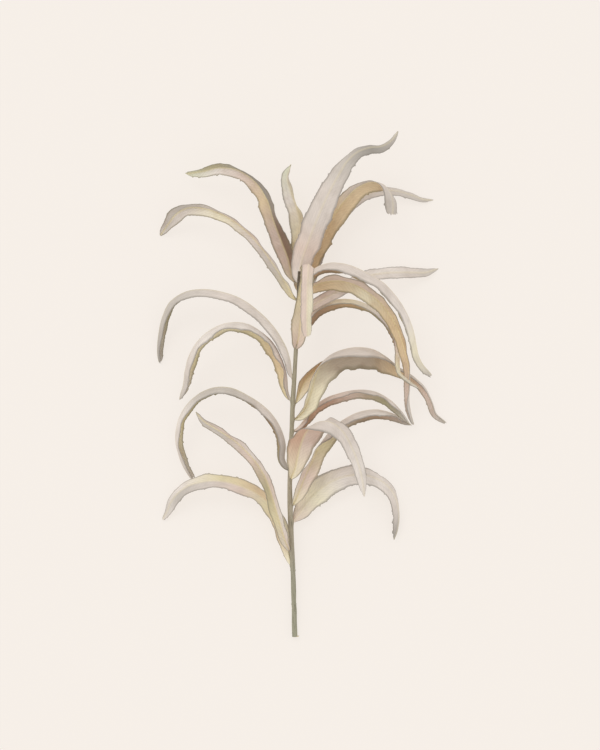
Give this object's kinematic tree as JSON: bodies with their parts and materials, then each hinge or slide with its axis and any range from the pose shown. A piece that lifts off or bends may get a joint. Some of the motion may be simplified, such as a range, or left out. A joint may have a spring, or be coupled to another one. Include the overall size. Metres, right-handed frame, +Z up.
{
  "type": "dried eucalyptus stem with leaves",
  "caption": "Long, narrow, curled dried eucalyptus leaves on a cut woody stem, lying on a surface.",
  "frame": {"origin": "on the surface the spray lies on, under the middle of its bounding box", "axes": "+Y along the stem from its cut end to its crown, +X to the right as seen from above, +Z up from the surface"},
  "size_m": [0.3627, 0.6316, 0.1095],
  "materials": {
    "bark": "matte dried olive-grey bark",
    "blade": "matte papery dried leaf, grey-pink outside and ochre inside"
  },
  "bodies": {
    "root": {"stem": "bark", "leaf_crown_front": "blade", "leaf_crown_left": "blade", "leaf_crown_back": "blade", "leaf_crown_hooked": "blade", "leaf_crown_right": "blade", "leaf_left_1": "blade", "leaf_left_2": "blade", "leaf_left_3": "blade", "leaf_left_4": "blade", "leaf_left_5": "blade", "leaf_left_6": "blade", "leaf_front_1": "blade", "leaf_front_2": "blade", "leaf_right_1": "blade", "leaf_right_2": "blade", "leaf_right_3": "blade", "leaf_right_4": "blade", "leaf_right_5": "blade", "leaf_right_6": "blade", "leaf_right_7": "blade", "leaf_right_8": "blade", "leaf_right_9": "blade"}
  },
  "joints": []
}
